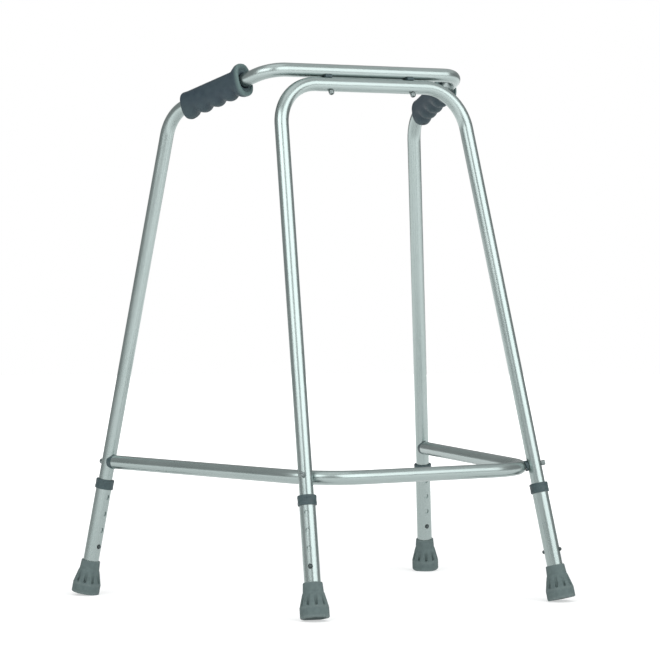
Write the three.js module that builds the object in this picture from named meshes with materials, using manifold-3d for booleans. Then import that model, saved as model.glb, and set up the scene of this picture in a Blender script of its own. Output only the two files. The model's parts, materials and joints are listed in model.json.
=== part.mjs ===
// Walking frame with four height-adjustable legs, at its lowest setting.
// Millimetres, +Z up. The user stands on the +Y side, and the front bars are on the -Y side.
import * as THREE from 'three';
import { mergeVertices } from 'three/addons/utils/BufferGeometryUtils.js';
import Module from 'manifold-3d';

const wasm = await Module();
wasm.setup();

// Driving dimensions ---------------------------------------------------------------------

const GAP = 0.3; // clearance left between pieces that touch

const tube = { radius: 11, wall: 1.5, sides: 20, boreSides: 12, bendStep: 12 };
const legTube = { radius: 12.5, boreRadius: 11.4, top: 184.8, sides: 20 };

// The front frame is an inverted U. Its legs lean forward and outward from the front bar.
const frontFrame = { cornerX: 171.5, barHeight: 812, footX: 233, footY: -192, bendRadius: 72 };

// The handle frame rises as a rear leg, runs forward as a handle and crosses above and behind
// the front bar.
const handleFrame = {
  cornerX: 180, cornerY: 11.4, barHeight: 833.7, bendRadius: 38,
  rearX: 236.5, rearY: 216.5, rearHeight: 772.5, rearBendRadius: 58,
  footX: 336.5, footY: 323.5,
};

// The lower rail is a flat U, bolted behind the front legs and butted on the rear legs.
const rail = {
  frontHeight: 209, rearHeight: 215, bendRadius: 100,
  boltTurn: 50, // degrees from straight ahead to the bolt through the front leg
  legSpacing: 24.6, // from the rail's centre line to the front leg's
  endGap: 15.5, // from the rear leg's centre line to the end of the rail
};

const adjust = { lowestHole: 81.5, pitch: 27, holes: 4, holeRadius: 3.5, innerHoleRadius: 3.4 };
const frontButtonTurn = 41; // degrees from straight ahead to the front legs' button line
const rearButtonTurn = 13; // degrees inward from straight ahead, on the rear legs
const upperTubeEnd = 58; // where the upper tube stops inside the leg tube, along the leg

const ferrule = {
  length: 54, soleRadius: 22.3, neckRadius: 14.9, edgeRadius: 2.5,
  bandTop: 16, shoulderRadius: 17.2, shoulderHeight: 36, bodyRadius: 15.9, bodyHeight: 39.5,
  recessRadius: 15, recessDraft: 1.5, recessDepth: 3, // the hollow under the sole
  socketFloor: 11,
  flatDepth: 0.8, // worn off the sole's lowest edge
};
const washer = { radius: 10.9, holeRadius: 4, thickness: 1.5 };
const collar = { radius: 14.8, height: 15.6, lipHeight: 5 };

const button = {
  radius: 3.0, reach: 15.7, domeHeight: 2.2, flangeRadius: 4.2, flangeTop: 7.8,
  flangeThickness: 1.0, stemRadius: 1.5, rivetRadius: 2.4, rivetBase: 4.8, rivetTop: 5.6,
  sides: 10,
};
const clip = { armOffset: 6.2, thickness: 0.6, width: 8, bendRadius: 2.6, armEnd: 9, length: 46 };

const grip = {
  start: 37, // from where the handle's run would meet the rear leg
  length: 130, boreRadius: 11.7, stations: 18, sides: 18,
  halfWidth: 16, rise: 20.4, drop: 22.6, // above and below the tube's axis
  squareness: 2.5, // 2 is an ellipse, more is boxier
  rearLip: { width: 0.8, rise: 0.8, drop: 1.2, length: 16, round: 5, inset: 2.4 },
  flange: { width: 1.2, rise: 7.4, drop: 2.4, begins: 22, full: 6, round: 4, inset: 2 },
};
const scallops = { first: 37, pitch: 28.5, count: 4, depth: 4 };

const bolt = {
  radius: 2.9, holeRadius: 3.3, headRadius: 4.2, rimHeight: 3.4, headHeight: 6.2, sides: 12,
};
const barBolt = { x: 78, tipBelowAxis: 2, spacerLength: 12, spacerDepth: 14, spacerHeight: 5 };
const rivetNut = {
  radius: 4.4, holeRadius: 5.0, boreRadius: 3.3,
  bulgeRadius: 6.2, bulgeDepth: 6.2, bulgeHeight: 1.6, // its underside is this far below the bar's axis
};
const railNut = { radius: 5.6, height: 5.5, threadPast: 1.5 };
const railSpacer = { radius: 8.5, sides: 12, railInset: 7.5, legInset: 7 };
const railSaddle = { radius: 11, sides: 14, legInset: 5.5 };
const railPlug = { radius: 8.8, length: 22, boreRadius: 3.3, recess: 1, boltShort: 4, endWall: 2.5 };

// Materials --------------------------------------------------------------------------------

const material = (color, roughness, metalness) =>
  new THREE.MeshStandardMaterial({ color, roughness, metalness });
const aluminium = () => material('#b4c4c2', 0.34, 0.95);
const gripPlastic = () => material('#46525c', 0.62, 0);
const collarPlastic = () => material('#4b5560', 0.5, 0);
const ferruleRubber = () => material('#5f706f', 0.82, 0);
const zincSteel = () => material('#8d9698', 0.4, 0.9);
const springSteel = () => material('#9aa0a3', 0.35, 0.95);
const darkSteel = () => material('#3a4246', 0.45, 0.8);

// Small helpers ----------------------------------------------------------------------------

const radians = THREE.MathUtils.degToRad;
const vec = (x, y, z) => new THREE.Vector3(x, y, z);
const between = (from, to, share) => from.clone().lerp(to, share);
const along = (from, direction, distance) => from.clone().addScaledVector(direction, distance);

function toSolid(geometry) {
  const bare = geometry.clone();
  bare.deleteAttribute('normal');
  bare.deleteAttribute('uv');
  const merged = mergeVertices(bare, 1e-3);
  return new wasm.Manifold(new wasm.Mesh({
    numProp: 3,
    vertProperties: Float32Array.from(merged.attributes.position.array),
    triVerts: Uint32Array.from(merged.index.array),
  }));
}

function toGeometry(solid) {
  const mesh = solid.getMesh();
  const geometry = new THREE.BufferGeometry();
  geometry.setAttribute('position', new THREE.BufferAttribute(mesh.vertProperties, 3));
  geometry.setIndex(new THREE.BufferAttribute(mesh.triVerts, 1));
  return geometry;
}

function cut(geometry, cutters) {
  let solid = toSolid(geometry);
  for (const cutter of cutters) solid = solid.subtract(toSolid(cutter));
  return toGeometry(solid);
}

// A geometry made along +Z is stood at a point with +Z turned to a direction.
function standAt(geometry, point, direction) {
  const turn = new THREE.Quaternion().setFromUnitVectors(vec(0, 0, 1), direction);
  return geometry.applyQuaternion(turn).translate(point.x, point.y, point.z);
}

function rod(radius, from, to, sides = 8) {
  const direction = to.clone().sub(from);
  const length = direction.length();
  const geometry = new THREE.CylinderGeometry(radius, radius, length, sides)
    .rotateX(Math.PI / 2).translate(0, 0, length / 2);
  return standAt(geometry, from, direction.normalize());
}

// Turns a half outline of [radius, height] pairs around +Z.
function lathe(outline, sides) {
  const points = outline.map(([radius, height]) => new THREE.Vector2(radius, height));
  return new THREE.LatheGeometry(points, sides).rotateX(Math.PI / 2);
}

function ringLathe(outline, sides) {
  return lathe([...outline, outline[0]], sides);
}

// Points of a quarter turn for a lathe outline, from one angle to another in degrees.
function arcOutline(centreRadius, centreHeight, radius, from, to, steps) {
  return Array.from({ length: steps + 1 }, (_, i) => {
    const angle = radians(from + (to - from) * i / steps);
    return [centreRadius + radius * Math.cos(angle), centreHeight + radius * Math.sin(angle)];
  });
}

function circlePoints(radius, sides) {
  return Array.from({ length: sides }, (_, i) => {
    const angle = 2 * Math.PI * i / sides;
    return new THREE.Vector2(radius * Math.cos(angle), radius * Math.sin(angle));
  });
}

// Bent tubes -------------------------------------------------------------------------------

// The centre line of a bent tube: straight runs joined by arcs. Sections are kept turned
// towards a reference direction, so that both halves of a frame are mirror images.
class BentLine extends THREE.Curve {
  constructor(corners, bendRadii, reference) {
    super();
    this.pieces = [];
    this.reference = reference;
    this.length = 0;
    let start = corners[0];
    bendRadii.forEach((radius, i) => {
      const corner = corners[i + 1];
      const back = corners[i].clone().sub(corner).normalize();
      const ahead = corners[i + 2].clone().sub(corner).normalize();
      const half = back.angleTo(ahead) / 2;
      const bendStart = along(corner, back, radius / Math.tan(half));
      const inward = back.clone().add(ahead).normalize();
      const centre = along(corner, inward, radius / Math.sin(half));
      this.addStraight(start, bendStart);
      this.addArc(bendStart, centre, back.clone().negate(), radius, Math.PI - 2 * half);
      start = along(corner, ahead, radius / Math.tan(half));
    });
    this.addStraight(start, corners.at(-1));
    this.marks = this.pieces.flatMap((piece) => piece.marks);
    this.marks.push(this.length);
  }

  addStraight(from, to) {
    const direction = to.clone().sub(from);
    const length = direction.length();
    direction.normalize();
    this.pieces.push({
      begins: this.length, length, marks: [this.length],
      at: (distance) => ({ point: along(from, direction, distance), tangent: direction }),
    });
    this.length += length;
  }

  addArc(from, centre, startTangent, radius, turn) {
    const spoke = from.clone().sub(centre).divideScalar(radius);
    const length = radius * turn;
    const steps = Math.ceil(turn / radians(tube.bendStep));
    this.pieces.push({
      begins: this.length, length,
      marks: Array.from({ length: steps }, (_, i) => this.length + length * i / steps),
      at: (distance) => {
        const angle = distance / radius;
        const out = spoke.clone().multiplyScalar(Math.cos(angle))
          .addScaledVector(startTangent, Math.sin(angle));
        const tangent = startTangent.clone().multiplyScalar(Math.cos(angle))
          .addScaledVector(spoke, -Math.sin(angle));
        return { point: along(centre, out, radius), tangent };
      },
    });
    this.length += length;
  }

  // The point, tangent, upward and sideways directions at a distance from the start.
  locate(distance) {
    const piece = this.pieces.findLast((each) => each.begins <= distance) ?? this.pieces[0];
    const { point, tangent } = piece.at(distance - piece.begins);
    const side = this.reference.clone().cross(tangent).normalize();
    const up = tangent.clone().cross(side);
    return { point, tangent, up, side };
  }

  getPointAt(share) {
    return this.locate(this.marks[Math.round(share * (this.marks.length - 1))]).point;
  }

  computeFrenetFrames(segments) {
    const frames = this.marks.map((mark) => this.locate(mark));
    return {
      tangents: frames.map((each) => each.tangent),
      normals: frames.map((each) => each.side),
      binormals: frames.map((each) => each.up),
      segments,
    };
  }
}

function sweep(line, radius, boreRadius) {
  const shape = new THREE.Shape(circlePoints(radius, tube.sides));
  if (boreRadius) shape.holes.push(new THREE.Path(circlePoints(boreRadius, tube.boreSides)));
  return new THREE.ExtrudeGeometry(shape, { steps: line.marks.length - 1, extrudePath: line });
}

// Corner layout ----------------------------------------------------------------------------

// A leg's own frame: z runs up the leg from the floor, y along the button line.
function makeLeg(name, side, foot, top, buttonTurn) {
  const up = top.clone().sub(foot).normalize();
  const ahead = vec(side * Math.sin(radians(buttonTurn)), -Math.cos(radians(buttonTurn)), 0);
  const buttonLine = ahead.addScaledVector(up, -ahead.dot(up)).normalize();
  const across = buttonLine.clone().cross(up);
  const toWorld = new THREE.Matrix4().makeBasis(across, buttonLine, up).setPosition(foot);
  const lean = Math.acos(up.z);
  // the sole stands square to the leg, so it rests on its lowest edge
  const edgeCentre = ferrule.soleRadius - ferrule.edgeRadius;
  const lowest = ferrule.edgeRadius - ferrule.flatDepth + edgeCentre * Math.sin(lean);
  const sole = lowest / Math.cos(lean) - ferrule.edgeRadius;
  return { name, side, foot, top, up, buttonLine, toWorld, sole };
}

const frontCorner = (side) => vec(side * frontFrame.cornerX, 0, frontFrame.barHeight);
const frontFoot = (side) => vec(side * frontFrame.footX, frontFrame.footY, 0);
const handleCorner = (side) =>
  vec(side * handleFrame.cornerX, handleFrame.cornerY, handleFrame.barHeight);
const rearCorner = (side) =>
  vec(side * handleFrame.rearX, handleFrame.rearY, handleFrame.rearHeight);
const rearFoot = (side) => vec(side * handleFrame.footX, handleFrame.footY, 0);

const LEFT = -1;
const RIGHT = 1;
const sides = [['left', LEFT], ['right', RIGHT]];
const frontLegs = sides.map(([name, side]) =>
  makeLeg(`front_${name}`, side, frontFoot(side), frontCorner(side), frontButtonTurn));
const rearLegs = sides.map(([name, side]) =>
  makeLeg(`rear_${name}`, side, rearFoot(side), rearCorner(side), -rearButtonTurn));
const legs = [...frontLegs, ...rearLegs];

// The bars' joints stand on the line from the front bar's axis to the handle bar's.
const barRise = vec(0, handleFrame.cornerY, handleFrame.barHeight - frontFrame.barHeight);
const barSpacing = barRise.length();
barRise.normalize();
const onBarJoint = (side, height) =>
  along(vec(side * barBolt.x, 0, frontFrame.barHeight), barRise, height);

const tubeEnd = (leg) => along(leg.foot, leg.up, upperTubeEnd);
const atHeight = (leg, height) => between(leg.foot, leg.top, height / leg.top.z);

// Rail corners: the bend's centre lies behind the front leg. The bolt that joins the two is
// square to the leaning leg, so it rises a little on its way out from the rail.
function railCorner(leg, rearEnd) {
  const turn = radians(rail.boltTurn);
  const level = vec(leg.side * Math.sin(turn), -Math.cos(turn), 0);
  const onRail = along(atHeight(leg, rail.frontHeight), level, -rail.legSpacing);
  const bendCentre = along(onRail, level, -rail.bendRadius);
  const lean = level.dot(leg.up);
  const out = along(level, leg.up, -lean).normalize();
  const onLeg = along(onRail, out, rail.legSpacing * Math.sqrt(1 - lean ** 2));
  const front = bendCentre.y - rail.bendRadius;
  // the side run is the tangent from the rear leg to the bend
  const reach = Math.hypot(rearEnd.x - bendCentre.x, rearEnd.y - bendCentre.y);
  const splay = Math.atan2(leg.side * (rearEnd.x - bendCentre.x), rearEnd.y - bendCentre.y)
    - Math.asin(rail.bendRadius / reach);
  const outward = Math.tan((Math.PI / 2 + splay) / 2 - splay) * rail.bendRadius;
  const corner = vec(bendCentre.x + leg.side * outward, front, rail.frontHeight);
  return { corner, onRail, onLeg, out };
}

const rearRailEnds = rearLegs.map((leg) => atHeight(leg, rail.rearHeight));
const railCorners = frontLegs.map((leg, i) => railCorner(leg, rearRailEnds[i]));
const railDirections = rearRailEnds.map((end, i) =>
  end.clone().sub(railCorners[i].corner).normalize());
const railEnds = rearRailEnds.map((end, i) => along(end, railDirections[i], -rail.endGap));

const frontLine = new BentLine(
  [tubeEnd(frontLegs[0]), frontCorner(LEFT), frontCorner(RIGHT), tubeEnd(frontLegs[1])],
  [frontFrame.bendRadius, frontFrame.bendRadius],
  vec(0, 1, 0),
);
const handleLine = new BentLine(
  [
    tubeEnd(rearLegs[0]), rearCorner(LEFT), handleCorner(LEFT),
    handleCorner(RIGHT), rearCorner(RIGHT), tubeEnd(rearLegs[1]),
  ],
  [
    handleFrame.rearBendRadius, handleFrame.bendRadius,
    handleFrame.bendRadius, handleFrame.rearBendRadius,
  ],
  vec(0, 1, 1).normalize(),
);
const railLine = new BentLine(
  [railEnds[0], railCorners[0].corner, railCorners[1].corner, railEnds[1]],
  [rail.bendRadius, rail.bendRadius],
  vec(0, 0, 1),
);

// The model --------------------------------------------------------------------------------

const walkingFrame = new THREE.Group();

function add(name, geometry, surface, toWorld) {
  const mesh = new THREE.Mesh(geometry, surface);
  mesh.name = name;
  if (toWorld) toWorld.decompose(mesh.position, mesh.quaternion, mesh.scale);
  walkingFrame.add(mesh);
}

// A pan-headed bolt: the head's seat is at the origin and the shank runs down -Z.
function boltGeometry(shankLength) {
  const { radius, headRadius, rimHeight, headHeight } = bolt;
  const dome = arcOutline(0, 0, 1, 0, 90, 3)
    .map(([r, h]) => [r * headRadius, rimHeight + h * (headHeight - rimHeight)]);
  return lathe([
    [0, -shankLength], [radius, -shankLength], [radius, 0], [headRadius, 0],
    ...dome.slice(0, -1), [0, headHeight],
  ], bolt.sides);
}

function buttonHoles(leg, radius, heights) {
  return heights.map((height) => {
    const centre = along(leg.foot, leg.up, height);
    const reach = 2 * legTube.radius;
    return rod(radius, along(centre, leg.buttonLine, -reach),
      along(centre, leg.buttonLine, reach), button.sides);
  });
}

// Frame tubes with the holes for bolts and buttons.
function addFrameTubes() {
  const bore = tube.radius - tube.wall;
  const drill = 2 * tube.radius;
  const lowest = [adjust.lowestHole];
  const barHoles = sides.map(([, side]) => rod(bolt.holeRadius,
    onBarJoint(side, -drill), onBarJoint(side, drill)));
  const nutHoles = sides.map(([, side]) => rod(rivetNut.holeRadius,
    onBarJoint(side, barSpacing - drill), onBarJoint(side, barSpacing - tube.radius / 2)));
  const frontRailHoles = railCorners.map(({ onRail, onLeg, out }) =>
    rod(bolt.holeRadius, along(onRail, out, -drill), along(onLeg, out, drill)));
  const rearRailHoles = rearRailEnds.map((end, i) => rod(bolt.holeRadius,
    along(end, railDirections[i], -drill), along(end, railDirections[i], drill)));

  add('front_frame_tube', cut(sweep(frontLine, tube.radius, bore), [
    ...barHoles, ...frontRailHoles,
    ...frontLegs.flatMap((leg) => buttonHoles(leg, adjust.innerHoleRadius, lowest)),
  ]), aluminium());
  add('handle_frame_tube', cut(sweep(handleLine, tube.radius, bore), [
    ...nutHoles, ...rearRailHoles,
    ...rearLegs.flatMap((leg) => buttonHoles(leg, adjust.innerHoleRadius, lowest)),
  ]), aluminium());
  add('lower_rail_tube', cut(sweep(railLine, tube.radius, bore), frontRailHoles), aluminium());
}

// The bars are held together by a bolt from below into a rivet nut in the handle bar.
function addBarJoint(name, side) {
  const toWorld = new THREE.Matrix4()
    .makeBasis(vec(1, 0, 0), barRise.clone().cross(vec(1, 0, 0)), barRise)
    .setPosition(onBarJoint(side, 0));
  const seat = -tube.radius - GAP;
  const shank = boltGeometry(barSpacing - barBolt.tipBelowAxis - seat);
  add(`${name}_bar_bolt`, standAt(shank, vec(0, 0, seat), vec(0, 0, -1)), zincSteel(), toWorld);

  const { radius, bulgeRadius, bulgeDepth, bulgeHeight, boreRadius } = rivetNut;
  const foot = barSpacing - Math.sqrt(tube.radius ** 2 - radius ** 2);
  const bulgeLow = barSpacing - bulgeDepth;
  const bulgeHigh = bulgeLow + bulgeHeight;
  const nut = ringLathe([
    [boreRadius, foot], [radius, foot], [radius, bulgeLow], [bulgeRadius, bulgeLow],
    [bulgeRadius, bulgeHigh], [radius, bulgeHigh], [radius, barSpacing], [boreRadius, barSpacing],
  ], bolt.sides);
  add(`${name}_bar_rivet_nut`, nut, zincSteel(), toWorld);

  const { spacerLength, spacerDepth, spacerHeight } = barBolt;
  const spacer = new THREE.BoxGeometry(spacerLength, spacerDepth, spacerHeight)
    .translate(0, 0, barSpacing / 2);
  const barCut = (height) => rod(tube.radius + GAP, vec(-spacerLength, 0, height),
    vec(spacerLength, 0, height), tube.sides);
  add(`${name}_bar_spacer`, cut(spacer, [
    barCut(0), barCut(barSpacing), rod(bolt.holeRadius, vec(0, 0, 0), vec(0, 0, barSpacing)),
  ]), collarPlastic(), toWorld);
}

// A stretch of leg with clearance, for cutting the saddle shape of a piece that sits on it.
function legBlank(leg, height) {
  const reach = 2 * tube.radius;
  return rod(tube.radius + GAP, atHeight(leg, height - reach), atHeight(leg, height + reach),
    tube.sides);
}

// From a leg's axis to the seat of a bolt head that clears the leg, which leans under it.
function headSeat(leg, direction) {
  const slant = Math.abs(leg.up.dot(direction));
  return (tube.radius + GAP + bolt.headRadius * slant) / Math.sqrt(1 - slant ** 2);
}

// A bolt through the front leg and the rail's bend, with a moulded spacer between them.
function addFrontRailJoint(leg, { onRail, onLeg, out }) {
  const seat = along(onLeg, out, tube.radius + GAP);
  const nutSeat = along(onRail, out, -tube.radius - 2 * GAP);
  const nutEnd = along(nutSeat, out, -railNut.height);
  const shankEnd = along(nutEnd, out, -railNut.threadPast);
  const shank = boltGeometry(seat.distanceTo(shankEnd));
  add(`${leg.name}_rail_bolt`, standAt(shank, seat, out), zincSteel());

  const nut = rod(railNut.radius, nutSeat, nutEnd, 6);
  add(`${leg.name}_rail_nut`, cut(nut, [
    rod(bolt.radius + GAP, along(nutSeat, out, railNut.height), along(nutEnd, out, -railNut.height)),
  ]), zincSteel());

  const spacer = rod(railSpacer.radius, along(onRail, out, railSpacer.railInset),
    along(onLeg, out, -railSpacer.legInset), railSpacer.sides);
  add(`${leg.name}_rail_spacer`, cut(spacer, [
    legBlank(leg, rail.frontHeight), sweep(railLine, tube.radius + GAP),
    rod(bolt.holeRadius, onRail, onLeg),
  ]), collarPlastic());
}

// The rail's end butts on the rear leg through a saddle, and is drawn up by a bolt into a plug.
function addRearRailJoint(leg, end, direction) {
  const seat = along(end, direction, headSeat(leg, direction));
  const plugFace = along(end, direction, -rail.endGap - railPlug.recess);
  const plugEnd = along(plugFace, direction, -railPlug.length);
  const shankEnd = along(plugEnd, direction, railPlug.boltShort);
  const shank = boltGeometry(seat.distanceTo(shankEnd));
  add(`${leg.name}_rail_bolt`, standAt(shank, seat, direction), zincSteel());

  const plug = rod(railPlug.radius, plugFace, plugEnd, railSaddle.sides);
  add(`${leg.name}_rail_plug`, cut(plug, [
    rod(railPlug.boreRadius, end, along(plugEnd, direction, railPlug.endWall)),
  ]), collarPlastic());

  const saddle = rod(railSaddle.radius, along(end, direction, -rail.endGap + GAP),
    along(end, direction, -railSaddle.legInset), railSaddle.sides);
  add(`${leg.name}_rail_saddle`, cut(saddle, [
    legBlank(leg, rail.rearHeight), rod(bolt.holeRadius, plugFace, end),
  ]), collarPlastic());
}

// How far a rounded end draws in, at a distance from that end: 1 at the end, 0 past the round.
function endRound(distance, radius) {
  const past = 1 - Math.min(distance, radius) / radius;
  return 1 - Math.sqrt(1 - past ** 2);
}

// Grip outline at a distance from its rear end: half width, rise above and drop below.
function gripSection(distance) {
  const { rearLip, flange } = grip;
  const fromFront = grip.length - distance;
  const end = rearLip.inset * endRound(distance, rearLip.round)
    + flange.inset * endRound(fromFront, flange.round);
  const flangeShare = 1 - THREE.MathUtils.smoothstep(fromFront, flange.full, flange.begins);
  const lipShare = 1 - THREE.MathUtils.smoothstep(distance, 0, rearLip.length);
  const phase = (distance - scallops.first) / scallops.pitch; // whole numbers are the ridges
  const inScallops = phase > -1 && phase < scallops.count;
  const scallop = inScallops ? scallops.depth * (0.5 - 0.5 * Math.cos(2 * Math.PI * phase)) : 0;
  const blend = (key) => grip[key === 'width' ? 'halfWidth' : key]
    + rearLip[key] * lipShare + flange[key] * flangeShare - end;
  return {
    width: blend('width'), rise: blend('rise'), drop: blend('drop') - scallop * (1 - flangeShare),
  };
}

// Hand grip: a moulded sleeve on the handle's straight run.
function addGrip(name, side) {
  const shape = new THREE.Shape(circlePoints(grip.rise, grip.sides));
  shape.holes.push(new THREE.Path(circlePoints(grip.boreRadius, tube.boreSides)));
  const geometry = new THREE.ExtrudeGeometry(shape, {
    depth: grip.length, steps: grip.stations, bevelEnabled: false,
  });
  const position = geometry.attributes.position;
  for (let i = 0; i < position.count; i += 1) {
    const [x, y, z] = [position.getX(i), position.getY(i), position.getZ(i)];
    if (Math.hypot(x, y) <= grip.boreRadius + 1) continue; // the bore stays round
    const { width, rise, drop } = gripSection(z);
    const [c, s] = [x / grip.rise, y / grip.rise];
    const power = grip.squareness;
    const stretch = (Math.abs(c) ** power + Math.abs(s) ** power) ** (-1 / power);
    position.setXYZ(i, c * stretch * width, s * stretch * (s > 0 ? rise : drop), z);
  }
  const ahead = handleCorner(side).sub(rearCorner(side)).normalize();
  const across = vec(0, 0, 1).cross(ahead).normalize();
  const toWorld = new THREE.Matrix4().makeBasis(across, ahead.clone().cross(across), ahead)
    .setPosition(along(rearCorner(side), ahead, grip.start));
  add(`${name}_hand_grip`, toGeometry(toSolid(geometry)), gripPlastic(), toWorld);
}

function addLegTube(leg) {
  const low = leg.sole + ferrule.socketFloor + washer.thickness + 3 * GAP;
  const heights = Array.from({ length: adjust.holes },
    (_, i) => adjust.lowestHole + i * adjust.pitch);
  const shell = ringLathe([
    [legTube.boreRadius, low], [legTube.radius, low],
    [legTube.radius, legTube.top], [legTube.boreRadius, legTube.top],
  ], legTube.sides);
  const reach = 2 * legTube.radius;
  const holes = heights.map((height) => rod(adjust.holeRadius, vec(0, -reach, height),
    vec(0, reach, height), button.sides));
  add(`${leg.name}_leg_tube`, cut(shell, holes), aluminium(), leg.toWorld);
}

// A plastic collar over the leg tube's mouth, with a lip that guides the upper tube.
function addCollar(leg) {
  const top = legTube.top + GAP + collar.lipHeight;
  const low = top - collar.height;
  const inner = legTube.radius + GAP;
  const lip = tube.radius + GAP;
  const chamfer = 0.9;
  const outline = [
    [inner, low], [collar.radius - chamfer, low], [collar.radius, low + chamfer],
    [collar.radius, top - chamfer], [collar.radius - chamfer, top], [lip, top],
    [lip, legTube.top + GAP], [inner, legTube.top + GAP],
  ];
  add(`${leg.name}_leg_collar`, ringLathe(outline, legTube.sides), collarPlastic(), leg.toWorld);
}

// A rubber ferrule: neck, flared body, plain sole band and a recessed underside.
function addFerrule(leg) {
  const { length, soleRadius, neckRadius, edgeRadius, socketFloor } = ferrule;
  const { recessRadius, recessDraft, recessDepth } = ferrule;
  const low = leg.sole;
  const socket = legTube.radius + GAP;
  const outline = [
    [0, low + recessDepth], [recessRadius, low + recessDepth], [recessRadius + recessDraft, low],
    ...arcOutline(soleRadius - edgeRadius, low + edgeRadius, edgeRadius, -90, 0, 3),
    [soleRadius, low + ferrule.bandTop],
    [ferrule.shoulderRadius, low + ferrule.shoulderHeight],
    [ferrule.bodyRadius, low + ferrule.bodyHeight],
    [neckRadius, low + length - 1], [neckRadius - 1, low + length], [socket, low + length],
    [socket, low + socketFloor], [0, low + socketFloor],
  ];
  // the floor, turned into the leg's own frame about the point where its axis meets the floor
  const width = 2 * length;
  const floor = new THREE.BoxGeometry(width, width, length).translate(0, 0, -length / 2);
  floor.applyMatrix4(leg.toWorld.clone().setPosition(0, 0, 0).transpose());
  add(`${leg.name}_ferrule`, cut(lathe(outline, 24), [floor]), ferruleRubber(), leg.toWorld);
}

function addWasher(leg) {
  const low = leg.sole + ferrule.socketFloor + GAP;
  add(`${leg.name}_ferrule_washer`, ringLathe([
    [washer.holeRadius, low], [washer.radius, low],
    [washer.radius, low + washer.thickness], [washer.holeRadius, low + washer.thickness],
  ], 12), zincSteel(), leg.toWorld);
}

// A leaf spring bent to a V inside the upper tube, with an arm behind each button.
function addClipSpring(leg) {
  const { armOffset, thickness, width, bendRadius, armEnd, length } = clip;
  const half = thickness / 2;
  const spine = [[armOffset, -armEnd], [armOffset, armEnd], [bendRadius, length - bendRadius]];
  const bend = (radius) => arcOutline(0, length - bendRadius, radius, 0, 180, 8);
  const leftOf = spine.map(([y, z]) => [-y, z]).reverse();
  const offset = (points, by) => points.map(([y, z]) => [y + Math.sign(y) * by, z]);
  const outer = [...offset(spine, half).slice(0, -1), ...bend(bendRadius + half),
    ...offset(leftOf, half).slice(1)];
  const inner = [...offset(spine, -half).slice(0, -1), ...bend(bendRadius - half),
    ...offset(leftOf, -half).slice(1)];
  const outline = [...outer, ...inner.reverse()].map(([y, z]) => new THREE.Vector2(y, z));
  const strip = new THREE.ExtrudeGeometry(new THREE.Shape(outline),
    { depth: width, steps: 1, bevelEnabled: false });
  // the outline lies in the leg's y-z plane, and the width runs across it
  const turn = new THREE.Matrix4().makeBasis(vec(0, 1, 0), vec(0, 0, 1), vec(1, 0, 0));
  strip.translate(0, 0, -width / 2).applyMatrix4(turn).translate(0, 0, adjust.lowestHole);
  const rivetHole = rod(button.stemRadius + GAP, vec(0, -armEnd, adjust.lowestHole),
    vec(0, armEnd, adjust.lowestHole), button.sides);
  add(`${leg.name}_clip_spring`, cut(strip, [rivetHole]), springSteel(), leg.toWorld);
}

// A snap button riveted to a spring arm: rivet, stem, flange inside the tube and domed head.
function addButton(leg, name, sign) {
  const { radius, reach, domeHeight, flangeRadius, flangeTop, flangeThickness } = button;
  const { stemRadius, rivetRadius, rivetBase, rivetTop } = button;
  const flangeLow = flangeTop - flangeThickness;
  const shoulder = reach - domeHeight;
  const dome = arcOutline(0, 0, 1, 0, 90, 3)
    .map(([r, h]) => [r * radius, shoulder + h * domeHeight]);
  const outline = [
    [0, rivetBase], [rivetRadius, rivetBase], [rivetRadius, rivetTop], [stemRadius, rivetTop],
    [stemRadius, flangeLow], [flangeRadius, flangeLow], [flangeRadius, flangeTop],
    [radius, flangeTop], ...dome.slice(0, -1), [0, reach],
  ];
  const geometry = standAt(lathe(outline, button.sides), vec(0, 0, adjust.lowestHole),
    vec(0, sign, 0));
  add(`${leg.name}_${name}_button`, geometry, darkSteel(), leg.toWorld);
}

addFrameTubes();
sides.forEach(([name, side]) => {
  addGrip(name, side);
  addBarJoint(name, side);
});
frontLegs.forEach((leg, i) => {
  addFrontRailJoint(leg, railCorners[i]);
  addButton(leg, 'outer', 1);
  addButton(leg, 'inner', -1);
});
rearLegs.forEach((leg, i) => {
  addRearRailJoint(leg, rearRailEnds[i], railDirections[i]);
  addButton(leg, 'front', 1);
  addButton(leg, 'back', -1);
});
legs.forEach((leg) => {
  addLegTube(leg);
  addCollar(leg);
  addFerrule(leg);
  addWasher(leg);
  addClipSpring(leg);
});

// The origin is the middle of the footprint, on the floor.
const bounds = new THREE.Box3().setFromObject(walkingFrame, true);
walkingFrame.position.y = -(bounds.min.y + bounds.max.y) / 2;

export default walkingFrame;
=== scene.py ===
import json
import math

import bmesh
import bpy
from mathutils import Matrix, Vector

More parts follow.
